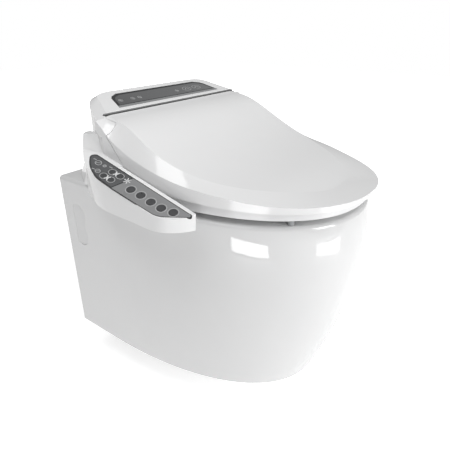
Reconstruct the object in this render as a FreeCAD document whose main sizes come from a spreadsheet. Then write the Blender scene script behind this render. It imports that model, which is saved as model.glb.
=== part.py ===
import FreeCAD, Part
# Wall-hung smart toilet with a heated seat, lid, side control arm and two wash nozzles.
#
# Every length is in millimetres. Heights are measured from the underside of the pan, y = 0 is the
# wall face and the front is towards -Y. Each piece's Placement then lowers it by fixing_height, so
# that the part's origin is the middle of the two wall fixing holes, on the wall face.
import os
from math import cos, pi, radians, sin, tan

import Sketcher
from FreeCAD import Placement, Rotation, Vector

doc = FreeCAD.newDocument("smart_toilet")

# ---------------------------------------------------------------------------------------------
# Driving dimensions
# ---------------------------------------------------------------------------------------------
sheet = doc.addObject("Spreadsheet::Sheet", "Sizes")

SIZES = [
    ("pan_height", 340, "pan underside to the deck that the seat stands on"),
    ("pan_half_width", 185, "half the pan's width at the wall"),
    ("rim_half_width", 188, "half the pan's width at the rim"),
    ("rim_tip", 516, "wall to the front of the rim"),
    ("belly_tip", 525, "wall to the foremost point of the pan"),
    ("belly_height", 272, "height of that foremost point"),
    ("foot_tip", 464, "wall to the front of the pan's underside"),
    ("rim_start", 225, "wall to where the rim starts to curve"),
    ("foot_start", 95, "wall to where the underside starts to curve"),
    ("pan_wall", 13, "thickness of the fired clay"),
    ("pan_back_wall", 16, "thickness of the wall face"),
    ("pan_edge_radius", 7, "rounding of the deck's and the underside's edges"),
    ("bowl_half_width", 134, "half the width of the bowl's mouth"),
    ("bowl_back", 160, "wall to the rear of the bowl's mouth"),
    ("bowl_front", 484, "wall to the front of the bowl's mouth"),
    ("fixing_height", 255, "pan underside to the wall fixing holes"),
    ("fixing_spacing", 180, "wall fixing holes, centre to centre"),
    ("fixing_hole_radius", 9, "wall fixing hole for a sleeved M12 rod"),
    ("outlet_height", 155, "pan underside to the middle of the waste outlet"),
    ("outlet_radius", 51, "outside of the waste spigot"),
    ("outlet_bore_radius", 41, "inside of the waste spigot"),
    ("outlet_length", 38, "length of the waste spigot"),
    ("outlet_socket", 30, "depth of the spigot's wide bore"),
    ("outlet_window_half", 74, "half the opening in the wall face round the spigot"),
    ("trap_radius", 34, "bore of the trap"),
    ("trap_wall", 10, "clay round the trap"),
    ("trap_dip", 58, "height of the trap's lowest point, on its axis"),
    ("weir_height", 176, "height of the trap's crown, on its axis"),
    ("flush_height", 290, "pan underside to the middle of the flush inlet"),
    ("flush_radius", 27.5, "bore of the flush inlet"),
    ("flush_boss_wall", 9, "clay round the flush inlet"),
    ("scoop_height", 249, "middle of the fixing scoop in each side"),
    ("scoop_half_height", 43, "half the scoop's height"),
    ("scoop_back", 30, "wall to the scoop's rear, where it runs out"),
    ("scoop_front", 64, "wall to the scoop's front edge"),
    ("scoop_depth", 4, "depth of the scoop at its front edge"),
    ("seat_bolt_spacing", 155, "deck holes, centre to centre"),
    ("seat_bolt_back", 92, "wall to the deck holes"),
    ("seat_bolt_radius", 4, "deck screw shank"),
    ("deck_hole_radius", 8, "hole in the deck"),
    ("plate_thickness", 3, "mounting plate"),
    ("plate_half_width", 105, "half the mounting plate's width"),
    ("plate_depth", 62, "mounting plate, back to front"),
    ("base_thickness", 3, "floor of the housing"),
    ("cover_wall", 3, "wall of the moulded cover"),
    ("cover_skirt_gap", 1.2, "deck to the cover's lower edge"),
    ("roof_slope", 17.9, "slope of the housing's roof, in degrees"),
    ("roof_lip_back", 141, "wall to the roof's front lip"),
    ("roof_lip_height", 471, "height of the roof's front lip"),
    ("roof_bevel_drop", 11.5, "drop of the bevel round the roof"),
    ("hinge_back", 157, "wall to the hinge axis"),
    ("hinge_height", 453, "height of the hinge axis"),
    ("hinge_pin_radius", 3, "steel hinge pin"),
    ("hinge_boss_radius", 5.5, "outside of each hinge eye"),
    ("hinge_running", 0.06, "radial clearance of the pins in the moving eyes"),
    ("knuckle_radius", 15, "round end of each cheek, inside the lid's rear corner"),
    ("cheek_inside", 175, "middle plane to the inside of each cheek"),
    ("channel_radius", 20.5, "dark hinge channel behind the lid's edge"),
    ("channel_wall", 2, "thickness of the hinge channel"),
    ("bracket_start", 136, "half width to the inside of the hinge bracket"),
    ("bracket_width", 10, "hinge bracket"),
    ("seat_arm_width", 12, "seat's hinge arm"),
    ("lid_ear_width", 10, "lid's hinge ear"),
    ("hinge_side_gap", 0.5, "side play between the hinge's leaves"),
    ("damper_length", 32, "soft-close damper"),
    ("lid_half_width", 194, "half the lid's width"),
    ("lid_tip", 529, "wall to the front of the lid"),
    ("lid_start", 232, "wall to where the lid starts to curve"),
    ("lid_wall", 3, "wall of the lid"),
    ("lid_rear", 145, "wall to the lid's rear edge"),
    ("lid_corner_gap", 1.3, "gap between the lid's rear corners and the housing"),
    ("seat_underside", 352, "height of the seat's underside"),
    ("seat_half_width", 188.4, "half the seat's width"),
    ("seat_tip", 518, "wall to the front of the seat"),
    ("seat_start", 228, "wall to where the seat starts to curve"),
    ("seat_rear", 214, "wall to the rear of the seat"),
    ("seat_base_height", 6, "lower seat shell"),
    ("seat_front_height", 15, "thickness of the seat at its front"),
    ("seat_rear_height", 27, "thickness of the seat at its rear"),
    ("seat_wall", 3, "wall of the seat's upper shell"),
    ("seat_hole_half_width", 106, "half the width of the seat's opening"),
    ("seat_hole_back", 252, "wall to the rear of the seat's opening"),
    ("seat_hole_front", 462, "wall to the front of the seat's opening"),
    ("heater_thickness", 0.8, "heating foil"),
    ("buffer_gap", 0.3, "rubber buffers to what they land on"),
    ("arm_top_across", 200, "middle plane to the control arm's datum point"),
    ("arm_top_back", 211, "wall to that point"),
    ("arm_top_height", 394, "height of that point"),
    ("arm_fall_ahead", 0.269, "fall of the arm's top per unit towards the front"),
    ("arm_fall_out", 0.33, "fall of the arm's top per unit outwards"),
    ("arm_key_radius", 6.6, "round keys of the control arm"),
    ("arm_key_gap", 0.3, "ring gap round each key"),
    ("arm_key_travel", 1.2, "stroke of each key"),
    ("arm_wall", 2.6, "wall of the control arm"),
    ("fascia_thickness", 1.8, "dark fascia of the control arm"),
    ("inlay_thickness", 0.5, "grey inlay round the keys"),
    ("nozzle_radius", 8, "wash nozzle"),
    ("nozzle_length", 112, "wash nozzle"),
    ("nozzle_travel", 84, "stroke of the wash nozzles"),
    ("nozzle_slope", 30, "slope of the wash nozzles, in degrees"),
    ("nozzle_gap", 0.3, "radial gap of the nozzles in their guide"),
    ("nozzle_spacing", 22, "nozzles, centre to centre"),
    ("guide_wall", 2.2, "wall of the nozzle guide"),
    ("tank_width", 80, "instant water heater, across"),
    ("tank_depth", 56, "instant water heater, back to front"),
    ("tank_height", 72, "instant water heater"),
    ("board_width", 76, "control board, across"),
    ("board_height", 80, "control board"),
    ("board_thickness", 1.6, "both circuit boards"),
    ("service_back", 70, "wall to the water inlet"),
    ("service_height", 365, "height of the water inlet and the cable gland"),
    ("gland_radius", 8, "cable gland"),
    ("gland_back", 112, "wall to the cable gland"),
    ("gland_end", 199, "middle plane to the end of the cable gland"),
    ("inlet_end", 203, "middle plane to the end of the water inlet"),
    ("inlet_thread_radius", 10.4, "half-inch water inlet"),
    ("inlet_reach", 14, "length of the inlet's thread"),
]

for row, (alias, value, meaning) in enumerate(SIZES, start=1):
    sheet.set("A%d" % row, meaning)
    sheet.set("B%d" % row, str(value))
    sheet.setAlias("B%d" % row, alias)
doc.recompute()


class Lengths:
    """Reads the sheet's cells by their aliases, as plain numbers."""

    def __getattr__(self, alias):
        return float(getattr(sheet, alias))


L = Lengths()
lower_to_origin = Placement(Vector(0, 0, -L.fixing_height), Rotation())
sub_parts = []


def bound(kind, name, x="0", y="0", z="0", turn=Rotation(), **sizes):
    """Part primitive whose sizes and place are expressions on the sheet."""
    piece = doc.addObject("Part::" + kind, name)
    piece.Placement = Placement(Vector(), turn)
    for axis, place in zip("xyz", (x, y, z)):
        piece.setExpression("Placement.Base." + axis, place)
    for size, expression in sizes.items():
        piece.setExpression(size, expression)
    return piece


def keep(label, piece, height="0"):
    """Names a finished sub-part, and lowers it from the pan's underside to the part's origin."""
    piece.Label = label
    piece.setExpression("Placement.Base.z", "(%s) - Sizes.fixing_height" % height)
    sub_parts.append(piece)
    return piece


def keep_shape(label, shape, placement=None):
    """Keeps a free-form solid whose sizes were read from the sheet, and then places it."""
    piece = doc.addObject("Part::Feature", label)
    piece.Label = label
    piece.Shape = shape
    piece.Placement = lower_to_origin.multiply(placement or Placement())
    sub_parts.append(piece)
    return piece


# ---------------------------------------------------------------------------------------------
# Outlines and solids that several free-form pieces share
# ---------------------------------------------------------------------------------------------
def nose_points(half_width, start, tip, power, count=5):
    """Superellipse from the left side, round the front, to the right side, at height 0."""
    points = []
    for step in range(-count, count + 1):
        turn = step / count * pi / 2
        across = half_width * abs(sin(turn)) ** (2 / power) * (1 if step > 0 else -1)
        ahead = (tip - start) * cos(turn) ** (2 / power)
        points.append(Vector(across if step else 0, -start - ahead, 0))
    return points


def line(start, end):
    return Part.makeLine(start, end)


def pan_outline(height, half_width, start, tip, power, back, back_half):
    """Horizontal outline with a straight back, nearly straight sides and a superellipse nose."""
    nose = [p + Vector(0, 0, height) for p in nose_points(half_width, start, tip, power)]
    left = Vector(-back_half, -back, height)
    right = Vector(back_half, -back, height)
    model = nose_points(L.rim_half_width, L.rim_start, L.rim_tip, 2.25)
    reach = [0.0]
    for before, after in zip(model, model[1:]):
        reach.append(reach[-1] + before.distanceToPoint(after))
    curve = Part.BSplineCurve()
    curve.interpolate(Points=nose, Parameters=reach,
                      InitialTangent=Vector(0, -1, 0), FinalTangent=Vector(0, 1, 0))
    return Part.Wire([line(left, nose[0]), curve.toShape(), line(nose[-1], right), line(right, left)])


def loop(height, half_width, back, front, power=2.3, count=12):
    """Closed egg-free oval at one height: a superellipse between its back and its front."""
    points = []
    for step in range(count):
        turn = 2 * pi * step / count
        across = abs(cos(turn)) ** (2 / power) * (1 if cos(turn) > 0 else -1)
        along = abs(sin(turn)) ** (2 / power) * (1 if sin(turn) > 0 else -1)
        middle = -(back + front) / 2
        points.append(Vector(half_width * across, middle + (front - back) / 2 * along, height))
    curve = Part.BSplineCurve()
    curve.interpolate(Points=points, Parameters=list(range(count + 1)), PeriodicFlag=True)
    return Part.Wire([curve.toShape()])


def block(x0, x1, y0, y1, z0, z1):
    """Box between two corners, given in any order."""
    low = Vector(min(x0, x1), min(y0, y1), min(z0, z1))
    return Part.makeBox(abs(x1 - x0), abs(y1 - y0), abs(z1 - z0), low)


def rod(radius, start, end):
    """Round bar between two points."""
    way = end.sub(start)
    return Part.makeCylinder(radius, way.Length, start, way)


def side_prism(points, x0, x1):
    """Outline of (back, height) points, drawn from the side and carried across from x0 to x1."""
    corners = [Vector(x0, -back, height) for back, height in points]
    face = Part.Face(Part.makePolygon(corners + [corners[0]]))
    return face.extrude(Vector(x1 - x0, 0, 0))


def link(back0, height0, radius0, back1, height1, radius1, x0, x1):
    """Flat lever with two round ends and straight flanks, seen from the side."""
    away, up = back1 - back0, height1 - height0
    span = (away * away + up * up) ** 0.5
    lean = (radius0 - radius1) / span
    flank = (1 - lean * lean) ** 0.5
    corners = []
    for side in (1, -1):
        nx = (away * lean - side * up * flank) / span
        nz = (up * lean + side * away * flank) / span
        corners.append(((back0 + nx * radius0, height0 + nz * radius0),
                        (back1 + nx * radius1, height1 + nz * radius1)))
    web = side_prism([corners[0][0], corners[0][1], corners[1][1], corners[1][0]], x0, x1)
    way = Vector(x1 - x0, 0, 0)
    near = rod(radius0, Vector(x0, -back0, height0), Vector(x0, -back0, height0) + way)
    far = rod(radius1, Vector(x0, -back1, height1), Vector(x0, -back1, height1) + way)
    return near.fuse([web, far])


def both_sides(shape):
    """The shape and its mirror image in the toilet's middle plane."""
    return [shape, shape.mirror(Vector(), Vector(1, 0, 0))]


# ---------------------------------------------------------------------------------------------
# Pan: slip-cast shell with its bowl, trap, flush inlet, deck and wall face
# ---------------------------------------------------------------------------------------------
def pan_loft(inset, low, high, back):
    """The pan's outside, or the same form drawn inwards by inset for its hollow."""
    belly = (L.rim_half_width + 1 - inset, L.rim_start - 8, L.belly_tip - inset, 2.35)
    foot = (L.pan_half_width - inset, L.foot_start, L.foot_tip - inset, 2.3)
    rim = (L.rim_half_width - inset, L.rim_start, L.rim_tip - inset, 2.25)

    def section(height, share=1.0):
        blend = tuple(a + (b - a) * share for a, b in zip(foot, belly))
        return pan_outline(height, *blend, back, L.pan_half_width - inset)

    sections = [
        section(low, 0),
        section(L.belly_height * 0.33, 0.52),
        section(L.belly_height * 0.66, 0.85),
        section(L.belly_height),
        pan_outline(high, *rim, back, L.pan_half_width - inset),
    ]
    return Part.makeLoft(sections, True, False)


def bowl_loft(wall, top):
    """Water bowl: its inside, or its outside when a wall is added all round."""
    half, back, front = L.bowl_half_width + wall, L.bowl_back - wall, L.bowl_front + wall
    sections = [
        loop(top, half, back, front, 2.35),
        loop(L.pan_height - 45, half - 1, back + 2, front - 1, 2.35),
        loop(L.pan_height - 110, half - 22, back + 14, front - 26, 2.2),
        loop(L.pan_height - 190, half - 62, back + 48, front - 84, 2.1),
        loop(L.trap_dip + 14 - wall, half - 96, back + 94, front - 160, 2.0),
    ]
    return Part.makeLoft(sections, True, False)


def trap_sweep(radius, start):
    """Trap: leaves the sump, dips, climbs to the weir and falls towards the waste outlet."""
    corners = [Vector(0, -start, L.trap_dip + 5), Vector(0, -205, L.trap_dip),
               Vector(0, -125, L.weir_height), Vector(0, -14, L.outlet_height + 2)]
    path = []
    here = corners[0]
    for before, corner, after in zip(corners, corners[1:], corners[2:]):
        into = corner.sub(before)
        out = after.sub(corner)
        trim = 0.45 * min(into.Length, out.Length)
        half_bend = into.getAngle(out) / 2
        begin = corner - into.normalize() * trim
        end = corner + out.normalize() * trim
        depth = trim * (1 / cos(half_bend) - 1) / tan(half_bend)
        path.append(line(here, begin))
        path.append(Part.Arc(begin, corner + (out - into).normalize() * depth, end).toShape())
        here = end
    path.append(line(here, corners[-1]))
    ring = Part.Wire([Part.makeCircle(radius, corners[0], corners[1].sub(corners[0]))])
    return Part.Wire(path).makePipeShell([ring], True, False)


outside = pan_loft(0, 0, L.pan_height, -1)
edges = [e for e in outside.Edges
         if e.BoundBox.ZLength < 0.01 and e.BoundBox.YMin < -1
         and (abs(e.BoundBox.ZMin) < 0.01 or abs(e.BoundBox.ZMin - L.pan_height) < 0.01)]
outside = outside.makeFillet(L.pan_edge_radius, edges)
outside = outside.cut(block(-L.pan_half_width - 5, L.pan_half_width + 5, 0, 3, -5, L.pan_height + 5))
hollow = pan_loft(L.pan_wall, L.pan_wall, L.pan_height - L.pan_wall, L.pan_back_wall)
bowl_outside = bowl_loft(L.pan_wall - 2, L.pan_height)
bowl_inside = bowl_loft(0, L.pan_height + 0.01)
clay = outside.cut(hollow)
window = block(-L.outlet_window_half, L.outlet_window_half, -L.pan_back_wall - 1, 1,
               L.outlet_height - L.outlet_window_half, L.outlet_height + L.outlet_window_half)
window = window.makeFillet(L.outlet_window_half / 3,
                           [e for e in window.Edges if e.BoundBox.YLength > L.pan_back_wall])
flush_boss = rod(L.flush_radius + L.flush_boss_wall, Vector(0, -1, L.flush_height),
                 Vector(0, -L.bowl_back - 6, L.flush_height))
flush_bore = rod(L.flush_radius, Vector(0, 1, L.flush_height), Vector(0, -L.bowl_back - 24, L.flush_height))
spigot = rod(L.outlet_radius, Vector(0, -2, L.outlet_height), Vector(0, -L.outlet_length, L.outlet_height))
spigot_bore = rod(L.outlet_bore_radius, Vector(0, 1, L.outlet_height), Vector(0, -L.outlet_socket, L.outlet_height))
trap = trap_sweep(L.trap_radius + L.trap_wall, 300)
clay = clay.cut(window).fuse([bowl_outside, trap, spigot, flush_boss])

openings = [bowl_inside, trap_sweep(L.trap_radius, 290), spigot_bore, flush_bore]
for side in (-1, 1):
    across = side * L.fixing_spacing / 2
    openings.append(rod(L.fixing_hole_radius, Vector(across, 1, L.fixing_height),
                        Vector(across, -L.pan_back_wall - 1, L.fixing_height)))
    across = side * L.seat_bolt_spacing / 2
    openings.append(rod(L.deck_hole_radius, Vector(across, -L.seat_bolt_back, L.pan_height + 1),
                        Vector(across, -L.seat_bolt_back, L.pan_height - L.pan_wall - 1)))


def fixing_scoop():
    """Peanut-shaped scoop: crisp along its front edge, running out to nothing at its rear."""
    face = L.pan_half_width - L.scoop_depth - 1
    lobe = L.scoop_half_height * 0.47
    outline = block(face, face + 12, -L.scoop_back, -L.scoop_front + 4,
                    L.scoop_height - L.scoop_half_height / 2, L.scoop_height + L.scoop_half_height / 2)
    for side in (-1, 1):
        middle = Vector(face, -L.scoop_front + lobe, L.scoop_height + side * (L.scoop_half_height - lobe))
        outline = outline.fuse(rod(lobe, middle, middle + Vector(12, 0, 0)))
    corners = [Vector(L.pan_half_width + 6, -L.scoop_back, 0), Vector(L.pan_half_width + 0.2, -L.scoop_back, 0),
               Vector(L.pan_half_width - L.scoop_depth, -L.scoop_front - 1, 0),
               Vector(L.pan_half_width + 6, -L.scoop_front - 1, 0)]
    wedge = Part.Face(Part.makePolygon(corners + [corners[0]])).extrude(Vector(0, 0, L.pan_height))
    return outline.common(wedge)


openings += both_sides(fixing_scoop())
keep_shape("pan", clay.cut(openings))


# ---------------------------------------------------------------------------------------------
# Housing: cover, floor, hinge channel and top panel
# ---------------------------------------------------------------------------------------------
HOUSING_FOOT = [(118, 10), (143, 14), (160, 35), (178, 66), (187, 83), (191, 115), (192, 157)]
HOUSING_SHOULDER = [(105, 60), (138, 69), (156, 84), (168, 100), (177, 117), (186, 138), (194, 157)]
HOUSING_CREASE = [(100, 77), (128, 80), (143, 89), (150, 103), (158, 119), (167, 138), (174, 157)]
cheek_front = L.hinge_back + 47


def roof_height(back):
    """Height of the sloping roof at a distance from the wall."""
    return L.roof_lip_height + (L.roof_lip_back - back) * tan(radians(L.roof_slope))


def housing_wire(corner, inset, height):
    """Closed outline of the housing: straight rear, rounded rear corners, straight sides and front."""
    moved = []
    for place, (across, back) in enumerate(corner):
        before = corner[max(place - 1, 0)]
        after = corner[min(place + 1, len(corner) - 1)]
        along = Vector(after[0] - before[0], after[1] - before[1], 0).normalize()
        if place == 0:
            along = Vector(1, 0, 0)
        if place == len(corner) - 1:
            along = Vector(0, 1, 0)
        moved.append((across - along.y * inset, back + along.x * inset))

    def spot(across, back):
        return Vector(across, -back, height(back))

    right = [spot(across, back) for across, back in moved]
    left = [Vector(-p.x, p.y, p.z) for p in reversed(right)]
    front = cheek_front - inset
    corners = [spot(moved[-1][0], front), spot(-moved[-1][0], front)]
    edges = [line(left[-1], right[0])]
    for points in (right, left):
        curve = Part.BSplineCurve()
        curve.interpolate(Points=points, Parameters=list(range(len(points))))
        edges.append(curve.toShape())
    return Part.Wire([edges[0], edges[1], line(right[-1], corners[0]), line(*corners),
                      line(corners[1], left[0]), edges[2]])


def front_cut(inset):
    """What lies ahead of the housing's front: the channel round the hinge, the face and the cheeks."""
    half = L.cheek_inside + inset
    hinge = Vector(-half, -L.hinge_back, L.hinge_height)
    lip = (L.roof_lip_back, L.roof_lip_height)
    above = (2 * lip[0] - L.hinge_back, 2 * lip[1] - L.hinge_height)
    slid = inset * 1.13
    face = side_prism([(L.hinge_back, L.hinge_height), above, (above[0], 540), (300, 540), (300, 300),
                       (200 - inset, 300), (200 - inset, 360), (162.5 - slid, 431.5)], -half, half)
    channel = rod(L.channel_radius + L.channel_wall + 0.1 + inset, hinge, hinge + Vector(2 * half, 0, 0))
    lean = inset * 1.6
    cheeks = side_prism([(cheek_front, 394 - lean), (L.hinge_back, 453 - lean), (97, 528.3 - lean),
                         (300, 540), (300, 394 - lean)], -220, 220)
    return [face, channel, cheeks]


def housing_form(inset):
    """The housing's outside, or the same form drawn inwards."""
    low = L.pan_height + L.cover_skirt_gap
    waist = 432

    def crease(back):
        return roof_height(back) - inset * 1.05

    def shoulder(back):
        return roof_height(back) - L.roof_bevel_drop - inset * 0.75

    foot = housing_wire(HOUSING_FOOT, inset, lambda back: low - (20 if inset > 0 else 0))
    level = housing_wire(HOUSING_SHOULDER, inset, lambda back: waist)
    edge = housing_wire(HOUSING_SHOULDER, inset, shoulder)
    top = housing_wire(HOUSING_CREASE, inset * 0.45, crease)
    form = Part.makeLoft([foot, level], True, True)
    form = form.fuse([Part.makeLoft([level, edge], True, True), Part.makeLoft([edge, top], True, True)])
    return form.removeSplitter().cut(front_cut(inset))


housing_outside = housing_form(0)
housing_inside = housing_form(L.cover_wall)
skirt = block(-200, 200, 0, -210, L.pan_height - 5, L.pan_height + L.cover_skirt_gap)
cover = housing_outside.cut([housing_inside, skirt])
half = L.bracket_start + L.bracket_width / 2
slots = [block(across - L.bracket_width / 2 - 0.8, across + L.bracket_width / 2 + 0.8, -145, -175, 408, 445)
         for across in (-half, half)]
face_normal = Vector(0, -71.5, 37.5).normalize()
sensor_middle = Vector(-60, -179, 400)
windows = [block(-26, 26, -150, -215, 335, 372), block(54.8, 95.2, -150, -215, 345.8, 368.2),
           rod(8.1, sensor_middle - face_normal * 8, sensor_middle + face_normal * 8)]


def roof_slab(corner, inset, top, bottom):
    """Plate that follows the roof, top to bottom below it, inside an outline of (across, back) points."""
    right = [Vector(across, -back, 380) for across, back in corner]
    left = [Vector(-p.x, p.y, p.z) for p in reversed(right)]
    face = Part.Face(Part.makePolygon(right + left + right[:1]))
    if inset:
        face = face.makeOffset2D(-inset)
    column = face.extrude(Vector(0, 0, 200))
    steep = tan(radians(L.roof_slope))
    far = L.roof_lip_height + L.roof_lip_back * steep
    near = far - 300 * steep
    return column.common(side_prism([(0, far - top), (300, near - top), (300, near - bottom),
                                     (0, far - bottom)], -220, 220))


PANEL = [(135, 135), (131, 124), (124, 103), (118, 96), (103, 89)]
PANEL_BAND = [(135, 135), (132.5, 128)]
panel_depth = 1.5
recess = roof_slab(PANEL, 0, -20, panel_depth)
service = Vector(0, -L.service_back, L.service_height)
inlet_hole = rod(L.inlet_thread_radius + 0.2, service + Vector(145, 0, 0), service + Vector(200, 0, 0))
gland = Vector(0, -L.gland_back, L.service_height)
gland_hole = rod(L.gland_radius + 0.2, gland + Vector(145, 0, 0), gland + Vector(200, 0, 0))
cover = cover.cut(slots + windows + [recess, inlet_hole, gland_hole])
keep_shape("panel_band", roof_slab(PANEL_BAND, 0.15, 0, panel_depth))
panel_back = [point for point in PANEL if point[1] < 128]
keep_shape("top_panel", roof_slab([(132.3, 127.8)] + panel_back, 0.15, 0, panel_depth))

liner_start = Vector(-174.5, -L.hinge_back, L.hinge_height)
liner_end = Vector(174.5, -L.hinge_back, L.hinge_height)
liner = rod(L.channel_radius + L.channel_wall, liner_start, liner_end)
liner = liner.cut([rod(L.channel_radius, liner_start, liner_end), front_cut(0)[0],
                   side_prism([(L.hinge_back, L.hinge_height), (L.hinge_back - 10, L.hinge_height - 27.5),
                               (L.hinge_back, L.hinge_height - 60), (L.hinge_back + 40, L.hinge_height - 40)],
                              -180, 180)] + slots)
keep_shape("hinge_channel", liner)

floor_low = L.pan_height + L.plate_thickness
floor_top = floor_low + L.base_thickness
floor = housing_form(L.cover_wall + 0.2).common(block(-200, 200, 0, -210, floor_low, floor_top))
cuts = [block(-28, 28, -158, -210, floor_low - 1, floor_top + 1)]
for side in (-1, 1):
    spot = Vector(side * L.seat_bolt_spacing / 2, -L.seat_bolt_back, floor_low - 1)
    cuts.append(rod(9.5, spot, spot + Vector(0, 0, 8)))
keep_shape("housing_base", floor.cut(cuts))


# ---------------------------------------------------------------------------------------------
# Hinge brackets, pins and soft-close dampers, both sides
# ---------------------------------------------------------------------------------------------
bracket_end = L.bracket_start + L.bracket_width
brackets = []
for shape in both_sides(
        link(L.hinge_back, L.hinge_height, 6, L.hinge_back + 2, 400, 7, L.bracket_start, bracket_end).fuse([
            side_prism([(L.hinge_back - 5, 402), (L.hinge_back + 9, 402), (L.hinge_back + 12, floor_top),
                        (L.hinge_back - 28, floor_top)], L.bracket_start, bracket_end)])):
    brackets.append(shape)
pin_reach = L.bracket_start + 35
pin_axis = rod(L.hinge_pin_radius, Vector(-pin_reach, -L.hinge_back, L.hinge_height),
               Vector(pin_reach, -L.hinge_back, L.hinge_height))
keep_shape("hinge_brackets", Part.makeCompound([shape.cut(pin_axis) for shape in brackets]))
across_axis = Rotation(Vector(0, 1, 0), 90)
for side, start in (("left", "-Sizes.bracket_start - 35"), ("right", "Sizes.bracket_start")):
    pin = bound("Cylinder", "hinge_pin_" + side, x=start, y="-Sizes.hinge_back", turn=across_axis,
                Radius="Sizes.hinge_pin_radius", Height="35")
    keep("hinge_pin_" + side, pin, "Sizes.hinge_height")
for side, start in (("left", "-Sizes.bracket_start"), ("right", "Sizes.bracket_start - Sizes.damper_length")):
    damper = bound("Cylinder", "damper_" + side, x=start, y="-Sizes.hinge_back", turn=across_axis,
                   Radius="Sizes.hinge_boss_radius", Height="Sizes.damper_length")
    keep("damper_" + side, damper, "Sizes.hinge_height")

# ---------------------------------------------------------------------------------------------
# Seat: lower and upper shell, heating foil and rubber buffers
# ---------------------------------------------------------------------------------------------
eye = L.hinge_pin_radius + L.hinge_running
seat_split = L.seat_underside + L.seat_base_height


def seat_top_height(back):
    """Height of the seat's upper face, thick at the rear and thin at the front."""
    share = (back - L.seat_rear) / (L.seat_tip - L.seat_rear)
    return L.seat_underside + L.seat_rear_height + (L.seat_front_height - L.seat_rear_height) * share


def seat_ring(inset, low, drop, rounded=False):
    """Seat ring from a height up to a depth below its sloping face, drawn inwards by inset."""
    outline = pan_outline(low, L.seat_half_width - inset, L.seat_start, L.seat_tip - inset, 2.3,
                          L.seat_rear + inset, L.seat_half_width - inset)
    body = Part.Face(outline).extrude(Vector(0, 0, 60))
    body = body.common(side_prism([(190, low - 5), (190, seat_top_height(190) - drop),
                                   (560, seat_top_height(560) - drop), (560, low - 5)], -220, 220))
    mouth = [loop(low - 1, L.seat_hole_half_width - 2 - inset, L.seat_hole_back + 2 + inset,
                  L.seat_hole_front - 2 - inset)]
    mouth.append(loop(L.seat_underside + 30, L.seat_hole_half_width + 4 - inset,
                      L.seat_hole_back - 4 + inset, L.seat_hole_front + 4 - inset))
    if inset:
        mouth = [loop(height, L.seat_hole_half_width + inset, L.seat_hole_back - inset,
                      L.seat_hole_front + inset) for height in (low - 1, L.seat_underside + 40)]
    body = body.cut(Part.makeLoft(mouth, True, True))
    if rounded:
        crown = [e for e in body.Edges if e.BoundBox.ZMin > L.seat_underside + 12.5]
        body = body.makeFillet(3.5, crown)
    return body


seat_shell = seat_ring(0, seat_split, 0, True)
arm_start = bracket_end + L.hinge_side_gap
arm_end = arm_start + L.seat_arm_width
seat_arms = []
for shape in both_sides(link(L.hinge_back, L.hinge_height, L.hinge_boss_radius, 232, 367, 9,
                             arm_start, arm_end)):
    seat_arms.append(shape)
cavity = seat_ring(L.seat_wall + 0.5, seat_split, L.seat_wall).cut(
    both_sides(block(arm_start - 3, arm_end + 3, -200, -246, 340, 400)))
seat_shell = seat_shell.cut(cavity).fuse(seat_arms)
eyes = rod(eye, Vector(-200, -L.hinge_back, L.hinge_height), Vector(200, -L.hinge_back, L.hinge_height))
keep_shape("seat_top", seat_shell.cut([eyes, block(-200, 200, -190, -250, 340, seat_split)]))
keep_shape("seat_base", seat_ring(0, L.seat_underside, 0).common(
    block(-200, 200, -200, -540, L.seat_underside, seat_split)))
foil = seat_ring(L.seat_wall + 6, seat_split, L.seat_wall).cut(
    side_prism([(190, 300), (190, seat_top_height(190) - L.seat_wall - L.heater_thickness),
                (560, seat_top_height(560) - L.seat_wall - L.heater_thickness), (560, 300)], -220, 220))
keep_shape("seat_heater", foil.cut(both_sides(block(arm_start - 3, arm_end + 3, -200, -246, 340, 400))))


def pad(across, back, low, high, length, width, turn):
    """Rounded rubber pad."""
    piece = block(-length / 2, length / 2, -width / 2, width / 2, 0, high - low)
    piece = piece.makeFillet(width / 2 - 0.1, [e for e in piece.Edges if e.BoundBox.ZLength > high - low - 0.1])
    piece.Placement = Placement(Vector(across, -back, low), Rotation(Vector(0, 0, 1), turn))
    return piece


buffers = []
for across, back, turn in ((163, 262, 90), (108, 450, -50)):
    buffers += both_sides(pad(across, back, L.pan_height + L.buffer_gap, L.seat_underside, 24, 9, turn))
keep_shape("seat_buffers", Part.makeCompound(buffers))

# ---------------------------------------------------------------------------------------------
# Lid: flat plateau inside a crease, a bevel out to the edge and a skirt that closes over the seat
# ---------------------------------------------------------------------------------------------
LID_CREASE = [(158, 140, 468.5), (166, 150, 465.5), (171, 166, 463), (174, 200, 453), (177, 240, 432),
              (170, 300, 406), (150, 360, 391), (110, 420, 382), (63, 460, 376), (35, 475, 374),
              (16, 479.5, 373.6)]
LID_EDGE = [(140, 467), (157, 453), (176, 437), (197, 425), (218, 416), (239, 409), (280, 398),
            (316, 390.6), (349, 385.9), (380, 382.1), (408, 378.6), (433, 376), (458, 374.3), (480, 373.3),
            (500, 372.8), (512, 372.7), (521, 373)]


def curve_through(points):
    curve = Part.BSplineCurve()
    curve.interpolate(points)
    return curve.toShape()


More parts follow.
